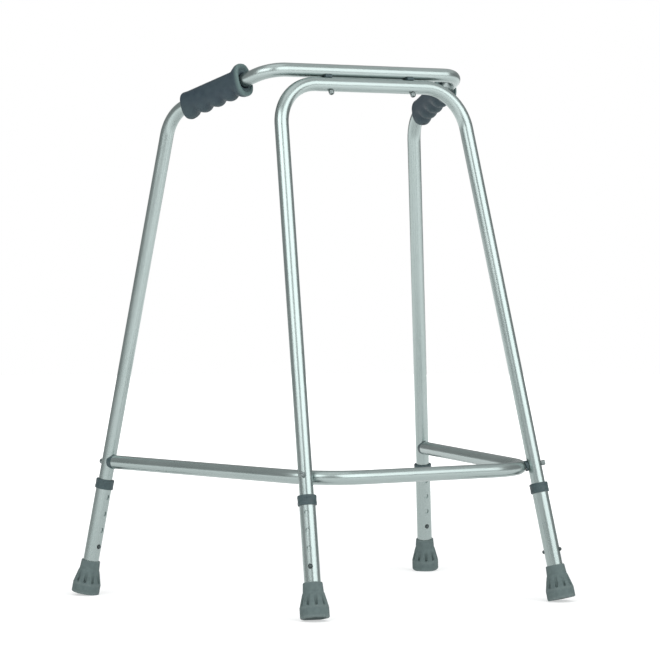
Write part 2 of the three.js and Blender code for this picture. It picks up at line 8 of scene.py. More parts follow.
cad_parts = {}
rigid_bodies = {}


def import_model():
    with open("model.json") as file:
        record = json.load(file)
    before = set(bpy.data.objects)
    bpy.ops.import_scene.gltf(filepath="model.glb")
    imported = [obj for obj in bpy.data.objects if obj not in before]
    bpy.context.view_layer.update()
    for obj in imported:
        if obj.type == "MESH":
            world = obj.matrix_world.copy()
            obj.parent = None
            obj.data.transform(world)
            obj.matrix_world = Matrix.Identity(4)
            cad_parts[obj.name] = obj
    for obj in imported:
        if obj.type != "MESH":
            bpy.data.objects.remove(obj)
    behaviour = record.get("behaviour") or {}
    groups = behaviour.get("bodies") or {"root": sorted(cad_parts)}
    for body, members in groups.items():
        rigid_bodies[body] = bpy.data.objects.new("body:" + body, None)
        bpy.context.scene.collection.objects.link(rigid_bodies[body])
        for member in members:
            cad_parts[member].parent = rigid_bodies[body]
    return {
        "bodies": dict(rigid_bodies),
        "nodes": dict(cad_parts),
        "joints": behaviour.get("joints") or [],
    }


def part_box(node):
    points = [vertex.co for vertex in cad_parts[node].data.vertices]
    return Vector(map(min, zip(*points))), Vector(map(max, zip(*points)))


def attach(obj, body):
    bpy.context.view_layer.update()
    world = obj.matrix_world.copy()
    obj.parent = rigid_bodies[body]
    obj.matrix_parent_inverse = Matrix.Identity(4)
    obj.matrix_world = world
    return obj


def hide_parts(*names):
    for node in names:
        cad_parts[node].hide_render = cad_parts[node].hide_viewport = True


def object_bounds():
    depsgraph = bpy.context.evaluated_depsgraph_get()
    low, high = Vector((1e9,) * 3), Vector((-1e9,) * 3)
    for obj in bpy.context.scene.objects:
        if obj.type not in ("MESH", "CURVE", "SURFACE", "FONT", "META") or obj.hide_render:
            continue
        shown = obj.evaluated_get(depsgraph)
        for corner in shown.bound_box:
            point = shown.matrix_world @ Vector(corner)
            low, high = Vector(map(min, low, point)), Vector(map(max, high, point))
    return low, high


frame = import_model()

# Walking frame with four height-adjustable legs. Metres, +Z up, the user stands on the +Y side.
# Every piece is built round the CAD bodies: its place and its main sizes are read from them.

CAD_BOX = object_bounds()
MM = 0.001
UP = Vector((0, 0, 1))

# Bends of the frame tubes, to their centre lines
FRONT_BEND = 72 * MM
HANDLE_BEND = 38 * MM
HANDLE_REAR_BEND = 58 * MM
RAIL_BEND = 100 * MM
HANDLE_CORNER_X = 180 * MM  # where the handle's runs would meet the front bar
REAR_CORNER_HEIGHT = 772.5 * MM  # where the handle's runs would meet the rear legs

# Edges turned by more degrees than this are shaded as edges
SHARP = 38

# Round shapes are cut into this many sides
TUBE_SIDES = 64
FINE_SIDES = 96
BOLT_SIDES = 48
BUTTON_SIDES = 40
DRILL_SIDES = 40
POST_SIDES = 72
FERRULE_SIDES = 320
GRIP_SIDES = 128

# The gap between pieces, and the radii of the holes and of the bolts' shanks
GAP = 0.3 * MM
BOLT_HOLE = 3.3 * MM
BOLT_SHANK = 2.9 * MM
NUT_HOLE = 5.0 * MM
BUTTON_HOLE = 3.4 * MM

# Adjustment holes up each leg tube
HOLE_PITCH = 27 * MM
HOLE_COUNT = 4

# The camera stands where the product photograph was taken from
CAMERA_AZIMUTH, CAMERA_ELEVATION, CAMERA_ROLL = -33.75, 1.44, -0.11
CAMERA_DISTANCE = 4.984
CAMERA_LENS = 170.35
CAMERA_AIM = Vector((-25.6, 10.9, 425.9)) * MM

# What the metal mirrors: brightness at each height on the unit sphere, and the share of it
# that is left on the side away from the camera
STUDIO_LEVELS = ((-1, 0.85), (-0.2, 0.76), (0, 0.54), (0.3, 0.58), (0.7, 0.74), (1, 0.9))
SIDE_LEVEL = 0.68

# Softboxes: azimuth from the camera's, elevation, distance, width and height, and watts
SOFTBOXES = {
    "right": (46, 27, 3.2, (3.8, 2.5), 62),
    "left": (-36, 30, 3.2, (2.6, 2.0), 38),
    "top": (0, 82, 3.0, (2.4, 2.4), 10),
    "high_right": (128, 50, 3.2, (3.0, 1.8), 5),
}
LIGHTS_AIM = Vector((0, 0, 0.45))


# Places and sizes read from the CAD -------------------------------------------------------

def joint(name):
    return next(j for j in frame["joints"] if j["name"] == name)


def corner_points(node):
    return [v.co.copy() for v in frame["nodes"][node].data.vertices]


def local_points(node, matrix):
    """A node's corners in a frame."""
    inverse = matrix.inverted()
    return [inverse @ p for p in corner_points(node)]


def box_centre(node):
    low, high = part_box(node)
    return (low + high) / 2


def round_angles(sides):
    return [2 * math.pi * j / sides for j in range(sides)]


def ring_point(radius, angle, z=0.0):
    return Vector((radius * math.cos(angle), radius * math.sin(angle), z))


def heading(azimuth, elevation):
    """The way to a place round the object. Azimuth 0 is on the -Y side, and 90 on the +X side."""
    turn, lift = math.radians(azimuth), math.radians(elevation)
    return Vector((math.sin(turn) * math.cos(lift), -math.cos(turn) * math.cos(lift),
                   math.sin(lift)))


def basis(x, y, z, origin):
    matrix = Matrix((x, y, z)).transposed().to_4x4()
    matrix.translation = origin
    return matrix


def axis_frame(origin, direction):
    """A frame with its z along a direction, and its y as near upright as that allows."""
    z = direction.normalized()
    upright = UP if abs(z.z) < 0.9 else Vector((0, 1, 0))
    x = upright.cross(z).normalized()
    return basis(x, z.cross(x), z, origin)


def extent(node, matrix):
    """Lowest and highest z, and smallest and largest radius, of a node in a frame."""
    local = local_points(node, matrix)
    radii = [p.xy.length for p in local]
    return min(p.z for p in local), max(p.z for p in local), min(radii), max(radii)


class Leg:
    """A telescopic leg. Its frame has z up the leg, y along the button line, and its
    origin where the button line meets the leg's axis."""

    def __init__(self, name, side, buttons):
        self.name, self.side, self.buttons = name, side, buttons
        self.body = f"{name}_leg"
        self.up = -Vector(joint(f"{name}_leg_slide")["axis"])
        out = -Vector(joint(f"{name}_{buttons[0]}_button_press")["axis"])
        self.pin = sum((box_centre(f"{name}_{b}_button") for b in buttons), Vector()) / 2
        self.frame = basis(out.cross(self.up), out, self.up, self.pin)

    def at_height(self, z):
        return self.pin + self.up * ((z - self.pin.z) / self.up.z)


SIDES = {"left": -1, "right": 1}
FRONT_LEGS = [Leg(f"front_{side}", sign, ("outer", "inner")) for side, sign in SIDES.items()]
REAR_LEGS = [Leg(f"rear_{side}", sign, ("front", "back")) for side, sign in SIDES.items()]
LEGS = FRONT_LEGS + REAR_LEGS


def tube_size(node, leg):
    """Outer and bore radius of a frame tube, where it runs inside its leg tube."""
    radii = [p.xy.length for p in local_points(node, leg.frame)
             if p.z < -6 * MM and p.xy.length < 20 * MM]
    return max(radii), min(radii)


TUBE_RADIUS, TUBE_BORE = tube_size("front_frame_tube", FRONT_LEGS[0])


def tube_end(node, leg):
    """The end of a frame tube inside its leg tube."""
    local = local_points(node, leg.frame)
    lowest = min(p.z for p in local if p.xy.length < 2 * TUBE_RADIUS)
    return leg.pin + leg.up * lowest


# Bent tubes -------------------------------------------------------------------------------

def bent_line(corners, radii, run=12 * MM, turn=math.radians(2.5)):
    """Points along straight runs joined by arcs. Runs and arcs are cut into even steps."""
    points = [corners[0]]

    def straight_to(end):
        start = points[-1]
        count = max(1, round((end - start).length / run))
        points.extend(start.lerp(end, i / count) for i in range(1, count + 1))

    for before, corner, after, radius in zip(corners, corners[1:], corners[2:], radii):
        back, ahead = (before - corner).normalized(), (after - corner).normalized()
        half = back.angle(ahead) / 2
        start = corner + back * (radius / math.tan(half))
        centre = corner + (back + ahead).normalized() * (radius / math.sin(half))
        straight_to(start)
        spoke, heading = (start - centre) / radius, -back
        whole = math.pi - 2 * half
        steps = math.ceil(whole / turn)
        for i in range(1, steps + 1):
            angle = whole * i / steps
            points.append(centre + (spoke * math.cos(angle) + heading * math.sin(angle)) * radius)
    straight_to(corners[-1])
    return points


def front_line():
    leg, mirror = FRONT_LEGS
    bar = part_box("front_frame_tube")[1].z - TUBE_RADIUS
    return bent_line(
        [tube_end("front_frame_tube", leg), leg.at_height(bar),
         mirror.at_height(bar), tube_end("front_frame_tube", mirror)],
        [FRONT_BEND, FRONT_BEND])


def handle_corners():
    low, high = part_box("handle_frame_tube")
    front = [Vector((sign * HANDLE_CORNER_X, low.y + TUBE_RADIUS, high.z - TUBE_RADIUS))
             for sign in SIDES.values()]
    rear = [leg.at_height(REAR_CORNER_HEIGHT) for leg in REAR_LEGS]
    return front, rear


def handle_line():
    front, rear = handle_corners()
    ends = [tube_end("handle_frame_tube", leg) for leg in REAR_LEGS]
    return bent_line([ends[0], rear[0], front[0], front[1], rear[1], ends[1]],
                     [HANDLE_REAR_BEND, HANDLE_BEND, HANDLE_BEND, HANDLE_REAR_BEND])


def bar_joint_frame(side):
    """A frame at a bar bolt, with z from the front bar's axis to the handle bar's, and how
    far apart the two axes are."""
    leg = FRONT_LEGS[0]
    front = leg.at_height(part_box("front_frame_tube")[1].z - TUBE_RADIUS)
    front.x = box_centre(f"{side}_bar_bolt").x
    handle = handle_corners()[0][0]
    handle.x = front.x
    along, rise = Vector((1, 0, 0)), (handle - front).normalized()
    return basis(along, rise.cross(along), rise, front), (handle - front).length


def rail_bolt_axis(leg):
    """Where a front leg's rail bolt crosses the leg's axis, and the way its head faces."""
    nut = box_centre(f"{leg.name}_rail_nut")
    on_leg = leg.pin + leg.up * (nut - leg.pin).dot(leg.up)
    return on_leg, (on_leg - nut).normalized()


def rail_crossing(leg):
    """Where a front leg's rail bolt crosses the rail's centre line."""
    on_leg, out = rail_bolt_axis(leg)
    rail_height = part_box("lower_rail_tube")[0].z + TUBE_RADIUS
    return on_leg - out * ((on_leg.z - rail_height) / out.z)


def rail_end_axis(leg):
    """Where a rear leg's rail bolt crosses the leg's axis, and the way its head faces."""
    on_leg = leg.at_height(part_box("lower_rail_tube")[1].z - TUBE_RADIUS)
    return on_leg, (on_leg - box_centre(f"{leg.name}_rail_plug")).normalized()


def rail_line():
    corners, ends = [], []
    for leg, rear in zip(FRONT_LEGS, REAR_LEGS):
        on_rail = rail_crossing(leg)
        on_rear, direction = rail_end_axis(rear)
        level = rail_bolt_axis(leg)[1]
        level.z = 0
        centre = on_rail - level.normalized() * RAIL_BEND
        front_y = centre.y - RAIL_BEND
        span = on_rear - centre
        splay = math.atan2(leg.side * span.x, span.y) - math.asin(RAIL_BEND / span.xy.length)
        outward = math.tan((math.pi / 2 + splay) / 2 - splay) * RAIL_BEND
        corners.append(Vector((centre.x + leg.side * outward, front_y, on_rail.z)))
        local = local_points("lower_rail_tube", axis_frame(on_rear, direction))
        last = max(p.z for p in local if p.xy.length < 2 * TUBE_RADIUS)
        ends.append(on_rear + direction * last)
    return bent_line([ends[0], corners[0], corners[1], ends[1]], [RAIL_BEND, RAIL_BEND])


# Mesh building ----------------------------------------------------------------------------

def face_outward(mesh):
    work = bmesh.new()
    work.from_mesh(mesh)
    bmesh.ops.recalc_face_normals(work, faces=work.faces)
    work.to_mesh(mesh)
    work.free()


def new_mesh(name, verts, faces, lay):
    """A mesh whose vertices each know their place along the grain, which lay gives."""
    mesh = bpy.data.meshes.new(name)
    mesh.from_pydata([tuple(v) for v in verts], [], faces)
    grain = mesh.attributes.new("lay", "FLOAT_VECTOR", "POINT")
    grain.data.foreach_set("vector", [c for v in lay for c in v])
    face_outward(mesh)
    return mesh


def piece(name, made, material, body, replaced, sharp=SHARP):
    """A closed mesh that rides on a body. made is (vertices, faces, lay)."""
    return finish_piece(name, new_mesh(name, *made), material, body, replaced, sharp)


def finish_piece(name, mesh, material, body, replaced, sharp):
    mesh.shade_smooth()
    mesh.set_sharp_from_angle(angle=math.radians(sharp))
    mesh.materials.clear()
    mesh.materials.append(material)
    obj = bpy.data.objects.new(name, mesh)
    bpy.context.scene.collection.objects.link(obj)
    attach(obj, body)
    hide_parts(replaced)
    return obj


def ring_faces(rows, columns, closed_rows):
    """Quads of a grid whose columns close on themselves, and whose rows may too."""
    faces = []
    for i in range(rows if closed_rows else rows - 1):
        for j in range(columns):
            a, b = i * columns, (i + 1) % rows * columns
            k = (j + 1) % columns
            faces.append((a + j, a + k, b + k, b + j))
    return faces


def fillet(outline, steps=4):
    """Rounds the corners of a closed outline of (radius, height, corner radius) points."""
    points = []
    count = len(outline)
    for i, (x, z, radius) in enumerate(outline):
        here = Vector((x, z))
        if radius <= 0:
            points.append((x, z))
            continue
        back = Vector(outline[i - 1][:2]) - here
        ahead = Vector(outline[(i + 1) % count][:2]) - here
        half = back.angle(ahead) / 2
        reach = min(radius / math.tan(half), 0.49 * back.length, 0.49 * ahead.length)
        start, end = here + back.normalized() * reach, here + ahead.normalized() * reach
        for k in range(steps + 1):
            t = k / steps
            points.append(tuple(start * (1 - t) ** 2 + here * 2 * t * (1 - t) + end * t ** 2))
    return points


def resample(outline, longest):
    """Adds points so that no side of a closed outline is longer than that."""
    points = []
    for here, ahead in zip(outline, outline[1:] + outline[:1]):
        start, end = Vector(here), Vector(ahead)
        count = max(1, math.ceil((end - start).length / longest))
        points.extend(tuple(start.lerp(end, i / count)) for i in range(count))
    return points


def revolve(outline, sides, matrix, shape=None):
    """A ring of that closed outline turned about z. shape may move a point radially."""
    verts, lay = [], []
    for radius, z in outline:
        for angle in round_angles(sides):
            local = ring_point(shape(angle, radius, z) if shape else radius, angle, z)
            verts.append(matrix @ local)
            lay.append(local)
    return verts, ring_faces(len(outline), sides, True), lay


def solid_revolve(outline, sides, matrix):
    """A solid turned about z from an open outline that starts and ends on the axis."""
    inner = outline[1:-1]
    lay = [ring_point(radius, angle, z) for radius, z in inner for angle in round_angles(sides)]
    faces = ring_faces(len(inner), sides, False)
    for row, (_, z) in ((0, outline[0]), (len(inner) - 1, outline[-1])):
        hub = len(lay)
        lay.append(Vector((0, 0, z)))
        first = row * sides
        faces += [(first + j, first + (j + 1) % sides, hub) for j in range(sides)]
    return [matrix @ local for local in lay], faces, lay


def sweep(points, radius, bore, reference):
    """A pipe along a centre line, with broken end edges. lay is the pipe laid out straight."""
    count = len(points)
    edge = 0.35 * MM
    distances = [0.0]
    for a, b in zip(points, points[1:]):
        distances.append(distances[-1] + (b - a).length)
    stations = []
    for i, point in enumerate(points):
        tangent = (points[min(i + 1, count - 1)] - points[max(i - 1, 0)]).normalized()
        side = reference.cross(tangent).normalized()
        stations.append((point, tangent, side, tangent.cross(side), distances[i]))
    first, last = stations[0], stations[-1]
    rows = [(first, radius - edge, 0), (first, radius, edge)]
    rows += [(s, radius, 0) for s in stations[1:-1]]
    rows += [(last, radius, -edge), (last, radius - edge, 0)]
    rows += [(last, bore + edge, 0), (last, bore, -edge)]
    rows += [(s, bore, 0) for s in reversed(stations[1:-1])]
    rows += [(first, bore, edge), (first, bore + edge, 0)]
    verts, lay = [], []
    for (point, tangent, side, up, distance), r, shift in rows:
        for angle in round_angles(TUBE_SIDES):
            local = ring_point(r, angle, distance + shift)
            verts.append(point + tangent * shift + side * local.x + up * local.y)
            lay.append(local)
    return verts, ring_faces(len(rows), TUBE_SIDES, True), lay


def bored(name, made, cutters, material, body, replaced):
    """A piece with round holes: each cutter is (matrix, outline of a solid turned about z)."""
    tool_verts, tool_faces, tool_lay = [], [], []
    for matrix, outline in cutters:
        verts, faces, lay = solid_revolve(outline, DRILL_SIDES, matrix)
        tool_faces += [tuple(len(tool_verts) + i for i in face) for face in faces]
        tool_verts += verts
        tool_lay += lay
    blank = bpy.data.objects.new(f"{name}_blank", new_mesh(f"{name}_blank", *made))
    tool = bpy.data.objects.new(
        f"{name}_drill", new_mesh(f"{name}_drill", tool_verts, tool_faces, tool_lay))
    for obj in (blank, tool):
        bpy.context.scene.collection.objects.link(obj)
    boolean = blank.modifiers.new("holes", "BOOLEAN")
    boolean.object, boolean.operation, boolean.solver = tool, "DIFFERENCE", "EXACT"
    bpy.context.view_layer.update()
    result = bpy.data.meshes.new_from_object(blank.evaluated_get(
        bpy.context.evaluated_depsgraph_get()))
    result.name = name
    for obj in (blank, tool):
        bpy.data.objects.remove(obj)
    face_outward(result)
    return finish_piece(name, result, material, body, replaced, SHARP)


def drill_outline(radius, reach):
    return [(0, -reach), (radius, -reach), (radius, reach), (0, reach)]


def smoothstep(low, high, value):
    t = min(1, max(0, (value - low) / (high - low)))
    return t * t * (3 - 2 * t)


# Materials --------------------------------------------------------------------------------

class NodeTree:
    """Makes the nodes of a tree and links them."""

    def __init__(self, tree):
        self.nodes, self.links = tree.nodes, tree.links

    def node(self, kind, **settings):
        made = self.nodes.new(kind)
        for key, value in settings.items():
            if key in made.inputs:
                made.inputs[key].default_value = value
            else:
                setattr(made, key, value)
        return made

    def spread(self, value, low, high, start=0.0, end=1.0):
        """Maps low to high onto start to end."""
        made = self.node("ShaderNodeMapRange")
        for key, number in (("From Min", low), ("From Max", high), ("To Min", start),
                            ("To Max", end)):
            made.inputs[key].default_value = number
        self.links.new(value, made.inputs["Value"])
        return made.outputs["Result"]


class Shader(NodeTree):
    """A node tree round one Principled shader."""

    def __init__(self, name, roughness, metallic=0.0, specular=0.5):
        self.material = bpy.data.materials.new(name)
        self.material.use_nodes = True
        super().__init__(self.material.node_tree)
        self.surface = self.nodes["Principled BSDF"]
        self.surface.inputs["Roughness"].default_value = roughness
        self.surface.inputs["Metallic"].default_value = metallic
        self.surface.inputs["Specular IOR Level"].default_value = specular

    def place(self, scale, attribute=None):
        """Coordinates in the piece's own space, or along its grain, scaled."""
        if attribute:
            source = self.node("ShaderNodeAttribute", attribute_name=attribute).outputs["Vector"]
        else:
            source = self.node("ShaderNodeTexCoord").outputs["Object"]
        mapping = self.node("ShaderNodeMapping", Scale=scale)
        self.links.new(source, mapping.inputs["Vector"])
        return mapping.outputs["Vector"]

    def noise(self, scale, detail=3.0, attribute=None, roughness=0.5):
        made = self.node("ShaderNodeTexNoise", Scale=1.0, Detail=detail, Roughness=roughness)
        self.links.new(self.place(scale, attribute), made.inputs["Vector"])
        return made.outputs["Fac"]

    def cells(self, scale):
        made = self.node("ShaderNodeTexVoronoi", Scale=1.0)
        self.links.new(self.place(scale), made.inputs["Vector"])
        return made.outputs["Distance"]

    def attribute(self, name):
        return self.node("ShaderNodeAttribute", attribute_name=name).outputs["Fac"]

    def math(self, operation, first, second):
        made = self.node("ShaderNodeMath", operation=operation)
        for socket, value in zip(made.inputs, (first, second)):
            if isinstance(value, (int, float)):
                socket.default_value = value
            else:
                self.links.new(value, socket)
        return made.outputs["Value"]

    def blend(self, share, first, second):
        """A colour between two: each is a colour or another node's output."""
        made = self.node("ShaderNodeMix", data_type="RGBA")
        self.links.new(share, made.inputs["Factor"])
        for socket, value in ((made.inputs[6], first), (made.inputs[7], second)):
            if isinstance(value, tuple):
                socket.default_value = (*value, 1)
            else:
                self.links.new(value, socket)
        return made.outputs[2]

    def colour(self, value):
        self.links.new(value, self.surface.inputs["Base Color"])

    def gloss(self, value):
        self.links.new(value, self.surface.inputs["Roughness"])

    def bump(self, height, strength, depth, under=None):
        made = self.node("ShaderNodeBump", Strength=strength, Distance=depth)
        self.links.new(height, made.inputs["Height"])
        if under:
            self.links.new(under, made.inputs["Normal"])
        self.links.new(made.outputs["Normal"], self.surface.inputs["Normal"])
        return made.outputs["Normal"]


def aluminium_material():
    """Satin anodised drawn tube: fine streaks along its length, with faint smudges."""
    shader = Shader("satin_aluminium", 0.3, metallic=1.0)
    streaks = shader.noise((1400, 1400, 5), detail=4, attribute="lay", roughness=0.6)
    smudges = shader.noise((30, 30, 9), detail=3, attribute="lay")
    scuffs = shader.spread(
        shader.noise((300, 300, 60), detail=6, attribute="lay", roughness=0.7), 0.68, 0.76)
    tone = shader.blend(shader.spread(smudges, 0.3, 0.7), (0.335, 0.395, 0.385),
                        (0.375, 0.435, 0.425))
    tone = shader.blend(shader.spread(streaks, 0.35, 0.65, 0, 0.35), tone, (0.31, 0.37, 0.365))
    shader.colour(shader.blend(shader.math("MULTIPLY", scuffs, 0.3), tone, (0.48, 0.53, 0.52)))
    base = shader.spread(smudges, 0.3, 0.7, 0.25, 0.30)
    shader.gloss(shader.math("ADD", base, shader.spread(streaks, 0.3, 0.7, -0.02, 0.03)))
    fine = shader.bump(streaks, 0.05, 0.03 * MM)
    shader.bump(scuffs, 0.08, 0.03 * MM, under=fine)
    return shader.material


def grip_material():
    """Moulded blue-grey plastic with a fine grain, worn smoother on the flange and the underside,
    where a painted sheen also makes it paler.
    """
    shader = Shader("grip_plastic", 0.55, specular=0.32)
    mottle = shader.noise((90, 90, 90), detail=4)
    cloud = shader.noise((28, 28, 28), detail=2)
    wear = shader.attribute("wear")
    tone = shader.blend(shader.spread(mottle, 0.3, 0.7), (0.016, 0.031, 0.043),
                        (0.028, 0.046, 0.058))
    tone = shader.blend(shader.spread(cloud, 0.4, 0.7, 0, 0.5), tone, (0.032, 0.054, 0.058))
    # Painted sheen: where the attribute read above is high (on the flange, and faintly on the
    # underside outside its finger valleys) the colour is painted paler.
    shader.colour(shader.blend(shader.math("MULTIPLY", wear, 0.8), tone, (0.10, 0.155, 0.15)))
    grain = shader.cells((1100, 1100, 1100))
    shader.gloss(shader.math("SUBTRACT", shader.spread(mottle, 0.3, 0.7, 0.5, 0.64),
                             shader.math("MULTIPLY", wear, 0.1)))
    coarse = shader.bump(mottle, 0.25, 0.25 * MM)
    shader.bump(grain, 0.35, 0.12 * MM, under=coarse)
    return shader.material


def collar_material():
    """Dark slate moulded plastic with a speckled, slightly uneven skin."""
    shader = Shader("collar_plastic", 0.5, specular=0.45)
    speckle = shader.noise((420, 420, 420), detail=5, roughness=0.65)
    cloud = shader.noise((120, 120, 120), detail=2)
    tone = shader.blend(shader.spread(cloud, 0.35, 0.65), (0.022, 0.044, 0.050),
                        (0.038, 0.066, 0.070))
    shader.colour(shader.blend(shader.spread(speckle, 0.5, 0.72, 0, 0.5), tone,
                               (0.080, 0.115, 0.118)))
    shader.gloss(shader.spread(cloud, 0.3, 0.7, 0.4, 0.58))
    shader.bump(speckle, 0.3, 0.12 * MM)
    return shader.material


def rubber_material():
    """Grey-green rubber: dull, dusty in the pockets, scuffed pale near the sole's edge."""
    shader = Shader("ferrule_rubber", 0.8, specular=0.3)
    mottle = shader.noise((150, 150, 150), detail=5, roughness=0.6)
    dust = shader.noise((420, 420, 420), detail=3)
    wear = shader.attribute("wear")
    tone = shader.blend(shader.spread(mottle, 0.3, 0.7), (0.078, 0.108, 0.108),
                        (0.108, 0.146, 0.144))
    scuffed = shader.math("MULTIPLY", wear, shader.spread(dust, 0.35, 0.65, 0.25, 0.8))
    shader.colour(shader.blend(scuffed, tone, (0.16, 0.20, 0.195)))
    shader.gloss(shader.spread(mottle, 0.3, 0.7, 0.68, 0.86))
    coarse = shader.bump(mottle, 0.25, 0.3 * MM)
    shader.bump(dust, 0.3, 0.1 * MM, under=coarse)
    return shader.material


def steel_material(name, dark, light, roughness, grain):
    """Plated or blackened steel with a fine uneven finish."""
    shader = Shader(name, roughness, metallic=1.0)
    mottle = shader.noise((grain, grain, grain), detail=4)
    shader.colour(shader.blend(shader.spread(mottle, 0.3, 0.7), dark, light))
    shader.gloss(shader.spread(mottle, 0.3, 0.7, roughness - 0.06, roughness + 0.1))
    shader.bump(mottle, 0.2, 0.05 * MM)
    return shader.material


ALUMINIUM = aluminium_material()
GRIP = grip_material()
COLLAR = collar_material()
RUBBER = rubber_material()
ZINC = steel_material("zinc_steel", (0.16, 0.19, 0.19), (0.26, 0.30, 0.295), 0.36, 700)
SPRING = steel_material("spring_steel", (0.34, 0.36, 0.38), (0.46, 0.48, 0.49), 0.3, 500)
DARK = steel_material("dark_steel", (0.055, 0.070, 0.072), (0.095, 0.115, 0.115), 0.42, 900)


# Frame tubes ------------------------------------------------------------------------------

def bar_drills():
    """Drills through the front bar, and through the underside of the handle bar."""
    through, nut_holes = [], []
    for side in SIDES:
        line, spacing = bar_joint_frame(side)
        below = Matrix.Translation((0, 0, spacing - 1.25 * TUBE_RADIUS))
        through.append((line, drill_outline(BOLT_HOLE, 2 * TUBE_RADIUS)))
        nut_holes.append((line @ below, drill_outline(NUT_HOLE, 0.75 * TUBE_RADIUS)))
    return through, nut_holes


def leg_drill(leg):
    """A drill on a leg's button line, through the tube inside it."""
    line = leg.frame @ Matrix.Rotation(-math.pi / 2, 4, "X")
    return line, drill_outline(BUTTON_HOLE, 2 * TUBE_RADIUS)


def rail_drills():
    """Drills on the lines of the front rail bolts."""
    reach = 4 * TUBE_RADIUS
    drills = []
    for leg in FRONT_LEGS:
        on_leg, out = rail_bolt_axis(leg)
        centre = on_leg - out * TUBE_RADIUS
        drills.append((axis_frame(centre, out), drill_outline(BOLT_HOLE, reach)))
    return drills


def rear_rail_drills():
    return [(axis_frame(*rail_end_axis(leg)), drill_outline(BOLT_HOLE, 2 * TUBE_RADIUS))
            for leg in REAR_LEGS]


def add_frame_tubes():
    bars, nuts = bar_drills()
    tubes = (
        ("front_frame_tube", front_line(), Vector((0, 1, 0)),
         bars + rail_drills() + [leg_drill(leg) for leg in FRONT_LEGS]),
        ("handle_frame_tube", handle_line(), Vector((0, 1, 1)).normalized(),
         nuts + rear_rail_drills() + [leg_drill(leg) for leg in REAR_LEGS]),
        ("lower_rail_tube", rail_line(), UP, rail_drills()),
    )
    for name, line, reference, drills in tubes:
        made = sweep(line, TUBE_RADIUS, TUBE_BORE, reference)
        bored(f"{name}_pipe", made, drills, ALUMINIUM, "frame", name)


# Telescopic legs --------------------------------------------------------------------------

def add_leg_tube(leg):
    """Leg tube with four double-ended adjustment holes, their edges broken."""
    node = f"{leg.name}_leg_tube"
    low, high, bore, radius = extent(node, leg.frame)
    edge = 0.4 * MM
    outline = resample(
        [(bore, low + edge), (bore + edge, low), (radius - edge, low), (radius, low + edge),
         (radius, high - edge), (radius - edge, high), (bore + edge, high), (bore, high - edge)],
        12 * MM)
    hole, chamfer = 3.5 * MM, 0.55 * MM
    inner, outer, past = radius - 1.0 * MM, radius + 0.3 * MM, 2 * radius
    drill = [(0, -past), (hole + chamfer, -past), (hole + chamfer, -outer), (hole, -inner),
             (hole, inner), (hole + chamfer, outer), (hole + chamfer, past), (0, past)]
    cutters = [(leg.frame @ Matrix.Translation((0, 0, i * HOLE_PITCH))
                @ Matrix.Rotation(-math.pi / 2, 4, "X"), drill) for i in range(HOLE_COUNT)]
    bored(f"{node}_shell", revolve(outline, FINE_SIDES, leg.frame), cutters, ALUMINIUM,
          leg.body, node)


def add_collar(leg):
    """Collar with soft edges, a shallow waist, and a thin moulding seam on two sides of it."""
    node = f"{leg.name}_leg_collar"
    low, high, inner, radius = extent(node, leg.frame)
    _, tube_top, _, tube_radius = extent(f"{leg.name}_leg_tube", leg.frame)
    mouth, height = tube_radius + GAP, high - low
    waist, round_end, round_waist = radius - 0.3 * MM, 1.5 * MM, 1.2 * MM
    outline = fillet([
        (mouth, low, 0.3 * MM), (radius - 0.25 * MM, low, round_end),
        (radius, low + 0.22 * height, round_waist), (waist, low + 0.36 * height, round_waist),
        (waist, low + 0.64 * height, round_waist), (radius, low + 0.78 * height, round_waist),
        (radius - 0.25 * MM, high, round_end), (inner, high, 1.0 * MM),
        (inner, tube_top + GAP, 0.3 * MM), (mouth, tube_top + GAP, 0),
    ])
    seam_height, seam_width = 0.1 * MM, 0.035

    def seamed(angle, r, z):
        if not radius - 1.2 * MM < r < radius - 0.05 * MM:
            return r
        return r + seam_height * math.exp(-((math.sin(angle) / seam_width) ** 2))

    made = revolve(resample(outline, 1.2 * MM), FINE_SIDES, leg.frame, seamed)
    piece(f"{node}_moulding", made, COLLAR, leg.body, node)


